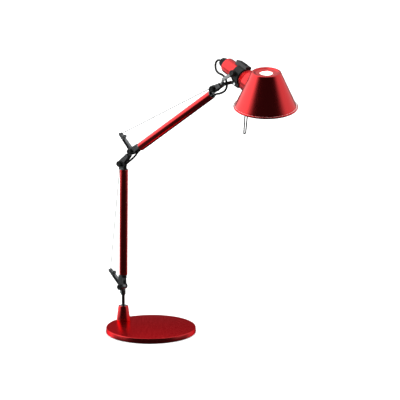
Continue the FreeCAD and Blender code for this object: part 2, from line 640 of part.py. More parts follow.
# ---------------------------------------------------------------- clamp ring, switch and head
def make_ring():
    bore = S.holder_dia / 2 + S.ring_play
    outer = bore + S.ring_wall
    long = S.ring_rear + S.ring_front
    band = cylinder(outer * 2, long, at(-S.ring_rear, 0, 0, ALONG_X))
    bosses = [cylinder(S.eye_dia - 3, S.prong_gap - S.cheek_gap - bore,
                       at(0, side * float(bore if side > 0 else S.prong_gap - S.cheek_gap), 0, ALONG_Y))
              for side in (-1, 1)]
    lug = box(long, S.clamp_lug * 2, S.ring_wall + 5.5, x=-S.ring_rear, z=-(outer + 1.2))
    seat = box(S.block_rear + S.block_front - 6, S.block_wide - 3, 4, x=-S.block_rear + 3, z=S.holder_dia / 2 + 1.6)
    hollow = cylinder(bore * 2, S.block_rear + S.block_front + 20, at(-S.block_rear - 5, 0, 0, ALONG_X))
    slit = box(long + 2, S.clamp_slit, 12, x=-S.ring_rear - 1, z=-(outer + 1))
    screw_x = (S.ring_front - S.ring_rear) / 2
    screw_hole = across(2.6, S.clamp_lug * 2 + 2, x=screw_x, z=-(outer + 1.9))
    pivots = across(S.tilt_screw_dia, float(S.prong_gap) * 2 + 2)
    node("tilt_ring", cut(fuse(band, *bosses, lug, seat), hollow, slit, screw_hole, pivots), RING)
    clamp = fuse(across(2.5, S.clamp_lug * 2 + 1.2, x=screw_x, z=-(outer + 1.9)),
                 across(4.6, 1.6, x=screw_x, z=-(outer + 1.9), y=-(S.clamp_lug + 0.8)))
    node("clamp_screw", clamp, RING)
    make_tilt_pivots(bore)
    make_switch(bore)


def make_tilt_pivots(bore):
    """The two screws that the ring tilts on, and their black caps outside the prongs."""
    outer_face = S.prong_gap + S.prong_thick
    screws, caps = [], []
    for side in (-1, 1):
        start = bore + 1.0
        long = outer_face + 1.6 - start
        y = start if side > 0 else outer_face + 1.6
        screws.append(cylinder(S.tilt_screw_dia, long, at(0, side * float(y), 0, ALONG_Y)))
        cap = turned("tilt_cap", [(0, 0), (S.tilt_cap_dia / 2, 0), (S.tilt_cap_dia / 2, S.tilt_cap_thick),
                                  (0, S.tilt_cap_thick)], [(S.tilt_cap_dia / 2, S.tilt_cap_thick, S.cap_round)])
        cap.Placement = at(0, side * float(outer_face + S.cap_stand), 0, Rotation(Vector(1, 0, 0), -90 * side))
        caps.append(cut(cap, across(S.tilt_screw_dia, float(outer_face + 1.6) * 2)))
    node("tilt_screws", group(*screws), RING)
    node("tilt_caps", group(*caps), RING)


def make_switch(bore):
    """The black switch block over the ring, and its push button."""
    floor = S.holder_dia / 2 + S.block_gap
    long = S.block_rear + S.block_front
    top = S.block_top
    block = box(long, S.block_wide, top - floor + 3, x=-S.block_rear, z=(top + floor - 3) / 2)
    hollow = cylinder(floor * 2, long + 4, at(-S.block_rear - 2, 0, 0, ALONG_X))
    ring_room = cylinder((bore + S.ring_wall + 0.02) * 2, S.ring_rear + S.ring_front + 0.04,
                         at(-S.ring_rear - 0.02, 0, 0, ALONG_X))
    seat_room = box(S.block_rear + S.block_front - 6, S.block_wide - 3, 4, x=-S.block_rear + 3,
                    z=S.holder_dia / 2 + 1.6)
    mid = (S.block_front - S.block_rear) / 2
    well = box(S.button_long + 2 * S.button_play, S.button_wide + 2 * S.button_play, 2.4 + OVER,
               x=mid - S.button_long / 2 - S.button_play, z=top - 2.4 + (2.4 + OVER) / 2)
    node("switch_block", cut(block, hollow, ring_room, seat_room, well), RING)
    height = S.button_proud + 1.0
    button = box(S.button_long, S.button_wide, height, x=mid - S.button_long / 2,
                 z=top + S.button_proud - height / 2)
    node("switch_button", button, RING)


def make_holder():
    outer = S.holder_dia / 2
    inner = outer - S.holder_wall
    rear, front = -S.holder_rear, S.holder_front
    gland_hole = S.gland_nose_dia / 2
    shell = turned("holder", [(gland_hole, rear), (outer, rear), (outer, front), (inner, front),
                              (inner, rear + 2.5), (gland_hole, rear + 2.5)], [(outer, rear, S.holder_round)])
    shell.Placement = at(turn=ALONG_X)
    node("lamp_holder", shell, HEAD)
    gland = turned("gland", [(S.cable_dia / 2 + 0.5, rear - S.gland_length), (S.gland_end_dia / 2, rear - S.gland_length),
                             (S.gland_dia / 2, rear - 2.5), (S.gland_dia / 2, rear),
                             (gland_hole - 0.02, rear), (gland_hole - 0.02, rear + S.gland_nose),
                             (S.cable_dia / 2, rear + S.gland_nose), (S.cable_dia / 2, rear - S.gland_length + 2)])
    gland.Placement = at(turn=ALONG_X)
    node("cable_gland", gland, HEAD)
    socket = turned("socket", [(0, -S.socket_rear), (inner, -S.socket_rear), (inner, 3 - S.socket_rear),
                               (SOCKET_DIA / 2, 3 - S.socket_rear), (SOCKET_DIA / 2, S.socket_front), (S.socket_bore / 2, S.socket_front),
                               (S.socket_bore / 2, S.socket_floor - S.socket_rear),
                               (0, S.socket_floor - S.socket_rear)])
    socket.Placement = at(turn=ALONG_X)
    node("bulb_socket", socket, HEAD)
    make_bulb()


def make_bulb():
    """A small globe bulb in its metal cap, on the holder's axis."""
    foot = S.socket_floor - S.socket_rear
    shoulder = S.socket_front + 0.5
    cap = turned("bulb_cap", [(0, foot), (3.5, foot), (4.5, foot + 2), (S.bulb_base_dia / 2, foot + 3),
                              (S.bulb_base_dia / 2, shoulder), (0, shoulder)])
    cap.Placement = at(turn=ALONG_X)
    node("bulb_cap", cap, HEAD)
    globe = bind(doc.addObject("Part::Sphere", "globe"), Radius=S.bulb_dia / 2)
    globe.Placement = at(x=S.bulb_centre)
    neck = bind(doc.addObject("Part::Cone", "neck"), Radius1=S.bulb_base_dia / 2, Radius2=S.bulb_neck_dia / 2,
                Height=S.bulb_centre - 15.5 - shoulder)
    neck.Placement = at(x=shoulder, turn=ALONG_X)
    node("bulb_glass", fuse(globe, neck), HEAD)


def shade_outline():
    """The shade's wall in its own frame: z up its axis from the plane of the rim."""
    rim = S.shade_rim_dia / 2 - S.rim_bead / 2
    top = S.shade_top_dia / 2
    wall = S.shade_wall
    high = S.shade_height
    hole = S.shade_hole_dia / 2
    return [(rim, 0), (top + 1.2, high - 1.8), (top - 1.2, high), (top - 3.2, high),
            (top - 6, high - S.shade_dish), (hole, high - S.shade_dish), (hole, high - S.shade_dish - wall),
            (top - 6, high - S.shade_dish - wall), (top - 3.4, high - wall),
            (top - 1.8, high - wall), (top - 0.2, high - 2.4), (rim - wall, 0)]


def make_shade():
    wall = turned("shade", shade_outline())
    bead = bind(doc.addObject("Part::Torus", "bead"), Radius1=S.shade_rim_dia / 2 - S.rim_bead / 2,
                Radius2=S.rim_bead / 2)
    bead.Placement = at(z=0)
    axis = SHADE.inverse().multiply(HEAD)
    hole = cylinder(S.holder_dia - 2 * S.holder_wall, S.shade_reach)
    hole.Placement = axis.multiply(at(turn=ALONG_X))
    node("shade", cut(fuse(wall, bead), hole), SHADE)


def make_neck():
    """The finned neck that flares from the holder into the side of the shade."""
    front = S.holder_front
    root = S.holder_dia / 2
    bore = root - S.neck_wall
    flare = S.neck_end_dia / 2
    body = turned("neck", [(bore, front), (root + 0.3, front), (root + 2.0, front + 3), (root + 4.2, front + 6),
                           (flare - 0.3, front + 9.5), (flare, front + 13), (flare, front + 40),
                           (bore, front + 40)])
    body.Placement = at(turn=ALONG_X)
    grooves = []
    for number in range(4):
        x = front + 3.2 + number * S.fin_pitch
        radius = root + 2.2 + number * 1.5
        groove = cut(cylinder(S.neck_end_dia + 20, S.fin_gap, at(x, 0, 0, ALONG_X)),
                     cylinder((radius - S.fin_deep) * 2, S.fin_gap + 2, at(x - 1, 0, 0, ALONG_X)))
        grooves.append(groove)
    slope = (S.shade_rim_dia / 2 - S.rim_bead / 2 - S.shade_top_dia / 2 - 1.2) / (S.shade_height - 1.8)
    reach = 60
    cone = bind(doc.addObject("Part::Cone", "cone"),
                Radius1=S.shade_rim_dia / 2 - S.rim_bead / 2 + slope * reach + 0.02,
                Radius2=S.shade_rim_dia / 2 - S.rim_bead / 2 - slope * reach * 1.5 + 0.02, Height=reach * 2.5)
    to_head = HEAD.inverse().multiply(SHADE)
    cone.Placement = to_head.multiply(at(z=-reach))
    node("shade_neck", cut(body, *grooves, cone), HEAD)


def handle_legs():
    """Where the two legs of the wire loop start and turn, on the near side of the holder's axis."""
    side = -float(S.handle_side)
    top, tip = float(S.handle_top_out), float(S.handle_tip_out)
    for sign in (-1, 1):
        start = Vector(top, side + sign * float(S.handle_spread), -float(S.handle_top_down))
        corner = Vector(tip, side + sign * float(S.handle_tip_spread), -float(S.handle_tip_down))
        yield start, corner


def make_handle():
    """The thin steel loop that hangs under the shade, in a lug on the shade's clamping flange."""
    (left, left_corner), (right, right_corner) = handle_legs()
    path, radii = tube_path([left, left_corner, right_corner, right])
    node("handle_wire", feature(swept(path, S.handle_wire_dia)), HEAD)
    start = S.flange_start
    flange = cut(cylinder(S.flange_wide, S.flange_thick, at(start, 0, 0, ALONG_X)),
                 cylinder(SOCKET_DIA, 10, at(start - 2, 0, 0, ALONG_X)))
    lug = box(S.handle_wire_dia + 2.4, 2 * S.handle_spread + 5, 4, x=start + 0.5, y=-S.handle_side, z=-13.0)
    bores = []
    for top, corner in handle_legs():
        heading = corner - top
        bore = cylinder(S.handle_wire_dia + 0.04, 12)
        bore.Placement = Placement(top - heading * 0.02, Rotation(Vector(0, 0, 1), heading))
        bores.append(bore)
    room = cylinder(SOCKET_DIA + 0.1, 20, at(start - 2, 0, 0, ALONG_X))
    node("handle_bracket", cut(fuse(flange, lug), room, *bores), HEAD)


# ---------------------------------------------------------------- supply cable
def in_frame(frame, x, z, y=0.0):
    return tuple(frame.multVec(Vector(float(x), float(y), float(z))))


def make_cables():
    """The cable's runs inside the arms, past the elbow, and from the arm to the head."""
    start, end = float(S.foot_reach) - 1.5, float(TUBE_END) + 3
    for prefix, frame, first in (("lower", LOWER, start - 3.5), ("upper", UPPER, start)):
        run = cylinder(S.cable_dia, end - first, at(first, 0, CABLE_Z, ALONG_X))
        node(prefix + "_cable_run", run, frame)
    past_link = [in_frame(ELBOW, x, z) for x, z in ((13.2, -6.0), (26.2, -7.4), (39.2, -9.9))]
    elbow_route = [in_frame(LOWER, end, CABLE_Z), in_frame(LOWER, end + 7.1, CABLE_Z), *past_link,
                   in_frame(UPPER, start - 9, CABLE_Z), in_frame(UPPER, start, CABLE_Z)]
    cable(("elbow_cable_lower", "elbow_cable_upper"), elbow_route, S.cable_dia, 2)
    loop = ((8.6, -13.2, -1.5), (21.1, -13.3, -0.6), (28.6, -7.5, 0.4), (33.3, 6.6, -1.1), (23.3, 19.4, -3.6),
            (8.2, 18.8, 2.8), (3.0, 27.3, 12.4), (7.6, 39.8, 15.8), (19.9, 45.3, 12.4))
    home = in_frame(HEAD, -S.holder_rear - S.gland_length, 0)
    head_route = [in_frame(UPPER, end, CABLE_Z), in_frame(UPPER, end + 7, CABLE_Z),
                  *(in_frame(WRIST, x, z, y) for x, z, y in loop), home]
    cable(("wrist_cable", "head_cable"), head_route, S.cable_dia, 4)


def make_inlet():
    """The rubber inlet in the foot of the lower arm, where a supply cord would enter."""
    start = S.foot_reach - S.flange_thick - 4.5
    tube = cylinder(S.inlet_dia - 1, 3.0, at(start + 1.5, 0, CABLE_Z, ALONG_X))
    lip = cylinder(S.inlet_dia, 1.5, at(start, 0, CABLE_Z, ALONG_X))
    bore = cylinder(S.cable_dia, 12, at(start - 2, 0, CABLE_Z, ALONG_X))
    clear = box(S.foot_reach, CHEEK_OUTER * 2, S.neck_width)
    node("cable_inlet", cut(fuse(tube, lip), bore, clear), LOWER)


def check_and_export():
    doc.recompute()
    faults = [o.Name for o in doc.Objects if {"Invalid", "Error"} & set(o.State)]
    if faults:
        sys.exit("failed features: " + ", ".join(faults))
    for name, solid in nodes.items():
        shape = solid.Shape
        if shape.isNull() or not shape.isValid() or not shape.Solids:
            sys.exit(f"{name} is not a valid solid")
    os.makedirs("parts", exist_ok=True)
    for name, solid in nodes.items():
        solid.Shape.exportStep(f"parts/{name}.step")
        print(f"{name}: {len(solid.Shape.Solids)} solid, {solid.Shape.Volume:.0f} mm3")


make_base()
make_hub()
make_stem()
make_arm("lower", LOWER, STEM_LEVER.multVec(Vector(float(S.lever_length), 0, 0)))
pivot_set("lower_pivot", LOWER)
make_elbow()
pivot_set("elbow_lock", LOWER, PIVOT_X, PIVOT_Z)
make_arm("upper", UPPER, ELBOW.multVec(Vector(float(S.link_length), 0, float(S.lever_length))))
pivot_set("elbow_pivot", UPPER)
make_fork()
pivot_set("wrist_pivot", UPPER, PIVOT_X, PIVOT_Z)
make_ring()
make_holder()
make_shade()
make_neck()
make_handle()
make_cables()
make_inlet()
check_and_export()
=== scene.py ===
# %% [markdown]
# # A balanced-arm desk lamp
# The lamp is a turned red base, a steel stem, two tube arms with cast ends, a forked wrist and a conical
# shade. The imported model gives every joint, pin and casting at its true size, so this lesson only adds what
# Blender is good at: smooth turned surfaces, bent wires and cables, and finishes that react to light.

# %% Load the frame
import json
import math
import bmesh
import bpy
import numpy as np
from mathutils import Matrix, Vector


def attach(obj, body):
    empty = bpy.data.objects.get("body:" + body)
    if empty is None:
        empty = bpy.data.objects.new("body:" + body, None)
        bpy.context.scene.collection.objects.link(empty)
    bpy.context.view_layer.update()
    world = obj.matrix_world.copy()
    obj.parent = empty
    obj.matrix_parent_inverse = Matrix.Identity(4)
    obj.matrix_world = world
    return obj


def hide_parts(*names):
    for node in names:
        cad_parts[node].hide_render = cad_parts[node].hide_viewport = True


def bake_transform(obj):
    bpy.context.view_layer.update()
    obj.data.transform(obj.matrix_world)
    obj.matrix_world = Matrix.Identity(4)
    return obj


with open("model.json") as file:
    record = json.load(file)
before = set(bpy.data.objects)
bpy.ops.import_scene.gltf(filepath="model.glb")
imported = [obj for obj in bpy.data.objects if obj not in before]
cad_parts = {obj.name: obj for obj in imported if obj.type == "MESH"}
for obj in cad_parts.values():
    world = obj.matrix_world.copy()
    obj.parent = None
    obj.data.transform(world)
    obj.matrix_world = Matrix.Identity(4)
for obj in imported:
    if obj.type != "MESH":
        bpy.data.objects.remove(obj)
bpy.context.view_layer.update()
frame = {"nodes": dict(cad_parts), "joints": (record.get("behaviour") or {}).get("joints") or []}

MM = 0.001
nodes = frame["nodes"]
joints = {joint["name"]: joint for joint in frame["joints"]}

# %% [markdown]
# ## Camera
# A long lens far away keeps the base round and the two arms in true proportion. The camera stands to the
# front right, a little above the lamp, and looks at the middle of its box.

# %% Camera
scene = bpy.context.scene
CAMERA_PLACE = Vector((1.99652, -2.26567, 0.85679))
CAMERA_TARGET = Vector((0.12020, 0.0, 0.26844))
LENS = 148.885
camera_data = bpy.data.cameras.new("camera")
camera_data.lens = LENS
camera_data.sensor_width = 36.0
camera_data.clip_end = 60.0
camera = bpy.data.objects.new("camera", camera_data)
scene.collection.objects.link(camera)
camera.location = CAMERA_PLACE
camera.rotation_euler = (CAMERA_TARGET - CAMERA_PLACE).to_track_quat("-Z", "Y").to_euler()
scene.camera = camera
print("camera distance", round((CAMERA_TARGET - CAMERA_PLACE).length, 3))

# %% [markdown]
# ## Frames of the moving castings
# Every arm is drawn along its own x axis, so a frame is its pivot and its angle above the table. The head's
# frame follows from the fork's roll, the ring's pitch and the head's turn. Rotation matrices could be typed
# in as numbers, but built from these few angles they stay readable.

# %% Frames
PIVOT_A = Vector(joints["lower_arm_tilt"]["pos_m"])
PIVOT_B = Vector(joints["elbow_lock"]["pos_m"])
PIVOT_C = Vector(joints["upper_arm_tilt"]["pos_m"])
PIVOT_D = Vector(joints["wrist_tilt"]["pos_m"])
PIVOT_E = Vector(joints["head_tilt"]["pos_m"])
STEM_LEVER_ANGLE = 137.5
LOWER_ANGLE = 88.93
ELBOW_ANGLE = 44.3
UPPER_ANGLE = 33.45
WRIST_ANGLE = 26.7
FORK_ROLL = -13.0
RING_PITCH = 49.2
HEAD_TURN = 21.5


def turned_about(axis, degrees):
    """A 4x4 rotation about an axis through the origin."""
    return Matrix.Rotation(math.radians(degrees), 4, axis)


def arm_frame(place, degrees):
    """x runs along the arm at this angle above the table, and y stays level."""
    return Matrix.Translation(place) @ turned_about("Y", -degrees)


LOWER = arm_frame(PIVOT_A, LOWER_ANGLE)
ELBOW = arm_frame(PIVOT_B, ELBOW_ANGLE)
UPPER = arm_frame(PIVOT_C, UPPER_ANGLE)
WRIST = arm_frame(PIVOT_D, WRIST_ANGLE)
fork_turn = (WRIST @ turned_about("X", FORK_ROLL)).to_3x3().to_4x4()
RING = Matrix.Translation(PIVOT_E) @ (fork_turn @ turned_about("Y", RING_PITCH))
HEAD = RING @ turned_about("X", HEAD_TURN)
ALONG_X = turned_about("Y", 90)
print("head axis", [round(c, 3) for c in HEAD.to_3x3().col[0]])

# %% [markdown]
# ## Frame of the shade
# The shade leans forward from the holder's axis. Its frame stands in the middle of the rim, with z up through
# the top opening, so every profile of the shade is measured from the rim.

# %% Shade frame
SHADE_LEAN = 10.5
SHADE_REACH = 72.5
SHADE_DROP = 23.5
lean = math.radians(SHADE_LEAN)
rim_centre = Vector((SHADE_REACH + math.sin(lean) * SHADE_DROP, 0, -math.cos(lean) * SHADE_DROP)) * MM
SHADE = HEAD @ Matrix.Translation(rim_centre) @ turned_about("Y", -SHADE_LEAN)
print("shade rim centre", [round(c, 4) for c in SHADE.translation])

# %% [markdown]
# ## Shader nodes in one line each
# The room and the finishes are both small node trees. These helpers add a node, join its inputs and hand back
# its output, so that a tree reads like a sum. A node group could do the same, but it hides the numbers.


# %% Node helpers
def link(tree, source, target):
    """Joins an output to an input."""
    tree.links.new(source, target)


def math_node(tree, operation, first, second=None):
    """A Math node, whose inputs are sockets or numbers."""
    made = tree.nodes.new("ShaderNodeMath")
    made.operation = operation
    for socket, value in zip(made.inputs, (first, second)):
        if isinstance(value, (int, float)):
            socket.default_value = value
        elif value is not None:
            link(tree, value, socket)
    return made.outputs[0]


def ramp(tree, value, low, high, start, end):
    """Smoothly maps low..high to start..end, and holds both ends."""
    made = tree.nodes.new("ShaderNodeMapRange")
    made.interpolation_type = "SMOOTHSTEP"
    link(tree, value, made.inputs["Value"])
    for name, number in zip(("From Min", "From Max", "To Min", "To Max"), (low, high, start, end)):
        made.inputs[name].default_value = number
    return made.outputs["Result"]


def dot(tree, vector, direction):
    """How far a vector points along a fixed direction."""
    made = tree.nodes.new("ShaderNodeVectorMath")
    made.operation = "DOT_PRODUCT"
    link(tree, vector, made.inputs[0])
    made.inputs[1].default_value = direction
    return made.outputs["Value"]


print("node helpers ready")

# %% [markdown]
# ## Stage and light
# Red anodised metal shows only what it mirrors: here a dark room in front of the lamp and pale screens at
# both sides. The world is that room, bright to the left and right and dim in front, so every round part gets
# a dark middle between bright sides. What is seen directly behind the lamp is plain white.

# %% World
ROOM_FRONT = Vector((0.6378, -0.7702, 0.0))
ROOM_RIGHT = Vector((0.7702, 0.6378, 0.0))
SCREEN_GLOW = 2.0
DIM_GLOW = 0.03
world = bpy.data.worlds.new("studio")
scene.world = world
world.use_nodes = True
room = world.node_tree
room.nodes.clear()
heading = room.nodes.new("ShaderNodeTexCoord").outputs["Generated"]
parts = room.nodes.new("ShaderNodeSeparateXYZ")
link(room, heading, parts.inputs[0])
up = parts.outputs["Z"]
level = math_node(room, "SQRT", math_node(room, "SUBTRACT", 1.0001, math_node(room, "MULTIPLY", up, up)))
ahead = math_node(room, "DIVIDE", dot(room, heading, ROOM_FRONT), level)
aside = math_node(room, "DIVIDE", dot(room, heading, ROOM_RIGHT), level)

# The screens stand at both sides, the right one half as bright, and leave a gap low down behind the lamp.
sides = ramp(room, ahead, 0.68, 0.12, 0.0, 1.0)
left_right = ramp(room, aside, -0.35, 0.35, 1.0, 0.50)
low_gap = ramp(room, ahead, -0.74, -0.96, 1.0, 0.16)
high_wall = ramp(room, up, 0.30, 0.60, 0.0, 0.7)
behind = math_node(room, "MAXIMUM", low_gap, high_wall)

# They reach down to the floor, and behind the lamp a pale sweep carries on below it.
above = ramp(room, up, -0.15, 0.02, 0.03, 1.0)
sweep_behind = ramp(room, ahead, -0.10, -0.55, 0.0, 0.9)
sweep_height = ramp(room, up, -0.55, -0.25, 0.0, 1.0)
sweep = math_node(room, "MULTIPLY", sweep_behind, sweep_height)
around = math_node(room, "MULTIPLY", sides, left_right)
height = math_node(room, "MULTIPLY", behind, math_node(room, "MAXIMUM", above, sweep))
screens = math_node(room, "MULTIPLY", around, height)
glow = math_node(room, "ADD", math_node(room, "MULTIPLY", screens, SCREEN_GLOW), DIM_GLOW)

mirror_room = room.nodes.new("ShaderNodeBackground")
link(room, glow, mirror_room.inputs["Strength"])
backdrop = room.nodes.new("ShaderNodeBackground")
backdrop.inputs["Strength"].default_value = 1.0
backdrop.inputs["Color"].default_value = (1, 1, 1, 1)
choose = room.nodes.new("ShaderNodeMixShader")
link(room, room.nodes.new("ShaderNodeLightPath").outputs["Is Camera Ray"], choose.inputs["Fac"])
link(room, mirror_room.outputs[0], choose.inputs[1])
link(room, backdrop.outputs[0], choose.inputs[2])
link(room, choose.outputs[0], room.nodes.new("ShaderNodeOutputWorld").inputs["Surface"])
scene.view_settings.view_transform = "Standard"
print("world nodes", len(room.nodes))

# %% [markdown]
# ## Lamps
# A very soft sun from above lights the plastics, and one square lamp at the left fills the front. Neither is
# seen in the metal, because the screens already make its highlights.

# %% Lamps
sky_data = bpy.data.lights.new("sky", "SUN")
sky_data.energy = 3.3
sky_data.angle = math.radians(70)
sky = bpy.data.objects.new("sky", sky_data)
scene.collection.objects.link(sky)
sky.rotation_euler = (math.radians(-12), math.radians(8), 0)
sky.visible_glossy = False

KEY_PLACE = Vector((-1.5, -2.2, 1.9))
KEY_TARGET = Vector((0.05, 0, 0.25))
key_data = bpy.data.lights.new("key", "AREA")
key_data.shape = "SQUARE"
key_data.size = 1.2
key_data.energy = 26
key = bpy.data.objects.new("key", key_data)
scene.collection.objects.link(key)
key.location = KEY_PLACE
key.rotation_euler = (KEY_TARGET - KEY_PLACE).to_track_quat("-Z", "Y").to_euler()
key.visible_glossy = False
print("lamps", sky.name, key.name)

# %% [markdown]
# ## Floor
# A plain pale floor catches the lamp's soft shadow. It lies a hair below the rubber pad, and the metal
# doesn't mirror it, so the underside of the tubes stays dark.

# %% Floor
FLOOR_HALF = 15.0
FLOOR_GAP = 0.0002
corners = [(-FLOOR_HALF, -FLOOR_HALF, 0), (FLOOR_HALF, -FLOOR_HALF, 0),
           (FLOOR_HALF, FLOOR_HALF, 0), (-FLOOR_HALF, FLOOR_HALF, 0)]
floor_mesh = bpy.data.meshes.new("floor")
floor_mesh.from_pydata(corners, [], [(0, 1, 2, 3)])
floor = bpy.data.objects.new("floor", floor_mesh)
scene.collection.objects.link(floor)
floor.location.z = -FLOOR_GAP
floor.visible_glossy = False
pale = bpy.data.materials.new("pale_floor")
pale.use_nodes = True
pale_shader = pale.node_tree.nodes["Principled BSDF"]
pale_shader.inputs["Base Color"].default_value = (0.93, 0.93, 0.93, 1)
pale_shader.inputs["Roughness"].default_value = 0.9
pale_shader.inputs["Specular IOR Level"].default_value = 0.1
floor_mesh.materials.append(pale)
print("floor side", 2 * FLOOR_HALF)

# %% [markdown]
# ## Finishes
# A finish is a Principled shader with a little procedural variation: noise on Object coordinates shifts the
# roughness and lifts a faint bump. Image textures could do it too, but noise has no seams and no limit of
# size.

# %% Finish helper
RELIEF = 0.0004
NOISE_DETAIL = 3.0


def finish(name, color, metallic, roughness, grain, rough_spread, bump, tint=0.06, edge=(1, 1, 1), gloss=0.5):
    """A shader whose colour, roughness and surface vary with one noise.

    grain is the noise's scale per metre, and tint darkens its low parts and lightens its high ones. edge is
    the colour a metal takes at a grazing look, and gloss is the strength of a plastic's mirror look.
    """
    material = bpy.data.materials.new(name)
    material.use_nodes = True
    tree = material.node_tree
    shader = tree.nodes["Principled BSDF"]
    place = tree.nodes.new("ShaderNodeTexCoord").outputs["Object"]
    noise = tree.nodes.new("ShaderNodeTexNoise")
    noise.inputs["Scale"].default_value = grain
    noise.inputs["Detail"].default_value = NOISE_DETAIL
    link(tree, place, noise.inputs["Vector"])
    tone = tree.nodes.new("ShaderNodeMix")
    tone.data_type = "RGBA"
    tone.inputs[6].default_value = [c * (1 - tint) for c in color] + [1]
    tone.inputs[7].default_value = [min(1, c * (1 + tint)) for c in color] + [1]
    link(tree, noise.outputs["Fac"], tone.inputs["Factor"])
    link(tree, tone.outputs[2], shader.inputs["Base Color"])
    rough = ramp(tree, noise.outputs["Fac"], 0.3, 0.7, roughness - rough_spread, roughness + rough_spread)
    link(tree, rough, shader.inputs["Roughness"])
    shader.inputs["Metallic"].default_value = metallic
    shader.inputs["Specular Tint"].default_value = (*edge, 1)
    shader.inputs["Specular IOR Level"].default_value = gloss
    if bump:
        relief = tree.nodes.new("ShaderNodeBump")
        relief.inputs["Strength"].default_value = bump
        relief.inputs["Distance"].default_value = RELIEF
        link(tree, noise.outputs["Fac"], relief.inputs["Height"])
        link(tree, relief.outputs[0], shader.inputs["Normal"])
    return material


print("finish helper ready")

# %% [markdown]
# ## The lamp's metals
# The red is one anodised colour at three roughnesses: the plate is the roughest, and its grazing look is
# kept red. The castings are a dark grey metal, and the small steel parts come in three shades, because a
# thin wire mirrors more of the bright room than a screw does.

# %% Metals
RED = (0.80, 0.052, 0.056)
red_turned = finish("red_turned", RED, 1.0, 0.24, grain=900, rough_spread=0.03, bump=0.03)
red_tube = finish("red_tube", RED, 1.0, 0.22, grain=700, rough_spread=0.03, bump=0.02)
red_plate = finish("red_plate", RED, 1.0, 0.27, grain=1300, rough_spread=0.05, bump=0.08,
                   edge=(0.95, 0.34, 0.36))
cast_metal = finish("cast_metal", (0.22, 0.23, 0.235), 1.0, 0.28, grain=1200, rough_spread=0.10, bump=0.10,
                    tint=0.2)
steel = finish("steel", (0.56, 0.57, 0.58), 1.0, 0.24, grain=1500, rough_spread=0.07, bump=0.02)
wire_steel = finish("wire_steel", (0.07, 0.07, 0.075), 1.0, 0.45, grain=3000, rough_spread=0.07, bump=0.03,
                    edge=(0.25, 0.25, 0.25))
dark_steel = finish("dark_steel", (0.13, 0.135, 0.14), 1.0, 0.30, grain=1800, rough_spread=0.06, bump=0.02,
                    edge=(0.3, 0.3, 0.3))
iron = finish("iron", (0.10, 0.10, 0.10), 0.6, 0.6, grain=700, rough_spread=0.15, bump=0.3, tint=0.3)
cap_metal = finish("cap_metal", (0.70, 0.67, 0.58), 1.0, 0.3, grain=900, rough_spread=0.06, bump=0.02)
print("materials after the metals", len(bpy.data.materials))

# %% [markdown]
# ## Plastics, rubber, enamel and glass
# Moulded black and rubber are nearly black with a weak mirror look, or the pale room would turn them grey.
# The bulb's opal glass gives off light of its own, which a lamp inside thin glass could do too, with more
# noise in the picture.

# %% Plastics, rubber, enamel and glass
black_moulded = finish("black_moulded", (0.007, 0.008, 0.008), 0.0, 0.30, grain=1500, rough_spread=0.08,
                       bump=0.06, gloss=0.26)
black_gloss = finish("black_gloss", (0.016, 0.016, 0.018), 0.0, 0.22, grain=900, rough_spread=0.05, bump=0.02)
rubber = finish("rubber", (0.009, 0.009, 0.010), 0.0, 0.55, grain=1200, rough_spread=0.10, bump=0.10,
                gloss=0.25)
cable_skin = finish("cable_skin", (0.006, 0.006, 0.007), 0.0, 0.42, grain=2000, rough_spread=0.06, bump=0.04,
                    gloss=0.2)
white_enamel = finish("white_enamel", (0.86, 0.85, 0.83), 0.0, 0.35, grain=500, rough_spread=0.04, bump=0.02,
                      tint=0.02)
opal = finish("opal", (0.95, 0.93, 0.88), 0.0, 0.25, grain=300, rough_spread=0.04, bump=0.0, tint=0.02)
opal_shader = opal.node_tree.nodes["Principled BSDF"]
opal_shader.inputs["Emission Color"].default_value = (1.0, 0.95, 0.86, 1)
opal_shader.inputs["Emission Strength"].default_value = 6.0
print("materials in all", len(bpy.data.materials))

# %% [markdown]
# ## Surfaces from numpy
# Nearly every new piece is one grid of points: rows along one direction, columns along the other. So their
# faces all come from one rule, and one helper puts such a grid into the scene, merges its doubled points and
# says which body it rides on.


# %% Grid and piece
SHARP = math.radians(35.0)
MERGE_GAP = 2e-6


def grid_faces(rows, columns, wrap_rows, wrap_columns):
    """The quads of a grid of points, row by row, joined round where a direction wraps."""
    i = np.arange(rows if wrap_rows else rows - 1)
    j = np.arange(columns if wrap_columns else columns - 1)
    i, j = np.meshgrid(i, j, indexing="ij")
    next_i, next_j = (i + 1) % rows, (j + 1) % columns
    corners = (i * columns + j, i * columns + next_j, next_i * columns + next_j, next_i * columns + j)
    return np.stack(corners, -1).reshape(-1, 4)


def placed(matrix, points):
    """The points moved by a 4x4 matrix."""
    points = np.asarray(points, float)
    turn = np.array(matrix.to_3x3())
    return points @ turn.T + np.array(matrix.translation)


def tidy_mesh(piece):
    """Merges doubles, turns faces outwards and marks real corners as sharp edges."""
    work = bmesh.new()
    work.from_mesh(piece.data)
    bmesh.ops.remove_doubles(work, verts=work.verts, dist=MERGE_GAP)
    bmesh.ops.recalc_face_normals(work, faces=work.faces)
    for edge in work.edges:
        edge.smooth = len(edge.link_faces) == 2 and edge.calc_face_angle(0) < SHARP
    work.to_mesh(piece.data)
    work.free()


def add_piece(name, points, faces, body, material, replaced):
    """Puts a mesh into the scene, hides the model parts it replaces, and rides it on its body, if it keeps to
    one.
    """
    mesh = bpy.data.meshes.new(name)
    mesh.from_pydata(points.tolist(), [], faces if isinstance(faces, list) else faces.tolist())
    mesh.validate()
    mesh.update()
    mesh.polygons.foreach_set("use_smooth", np.ones(len(mesh.polygons), bool))
    mesh.materials.append(material)
    piece = bpy.data.objects.new(name, mesh)
    scene.collection.objects.link(piece)
    if body:
        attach(piece, body)
    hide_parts(*replaced)
    print(name, len(mesh.polygons), "faces")
    tidy_mesh(piece)
    return piece


print("grid helpers ready")

